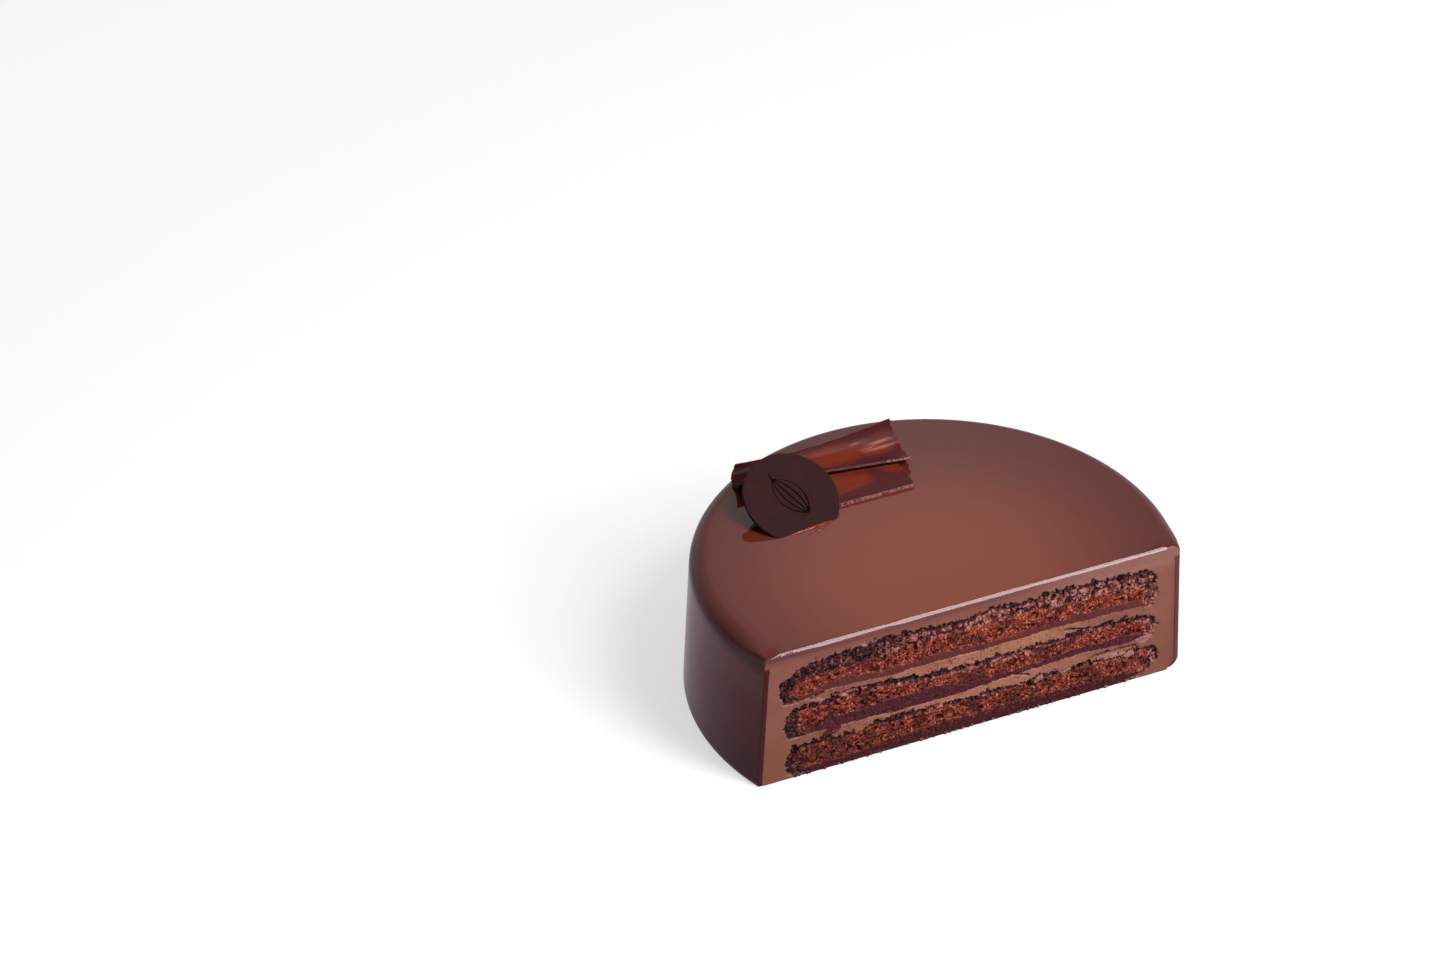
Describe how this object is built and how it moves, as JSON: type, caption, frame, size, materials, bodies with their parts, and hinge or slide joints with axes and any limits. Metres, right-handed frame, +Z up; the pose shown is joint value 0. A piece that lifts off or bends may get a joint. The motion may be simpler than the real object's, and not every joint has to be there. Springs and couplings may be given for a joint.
{
  "type": "opera cake",
  "caption": "Round glazed chocolate layer cake with one side cut away straight, showing sponge, cream and mousse, with a chocolate disc and curled strips on top.",
  "frame": {"origin": "middle of the underside: halfway along the length and the depth of the cut cake", "axes": "+X along the cut face, left to right seen from in front of the cut; +Y from the cut face to the rounded back; +Z up"},
  "size_m": [0.164, 0.111, 0.067],
  "materials": {
    "glaze": "mirror-gloss chocolate glaze",
    "mousse": "smooth satin chocolate mousse",
    "sponge": "open crumb, matt",
    "cream": "smooth satin cream",
    "plaque": "dark chocolate, satin",
    "bark": "glossy dark chocolate"
  },
  "bodies": {
    "root": {"glaze": "glaze", "mousse": "mousse", "sponge_top": "sponge", "sponge_middle": "sponge", "sponge_bottom": "sponge", "cream_upper": "cream", "cream_lower": "cream", "plaque": "plaque", "bark_back": "bark", "bark_front": "bark"}
  },
  "joints": []
}
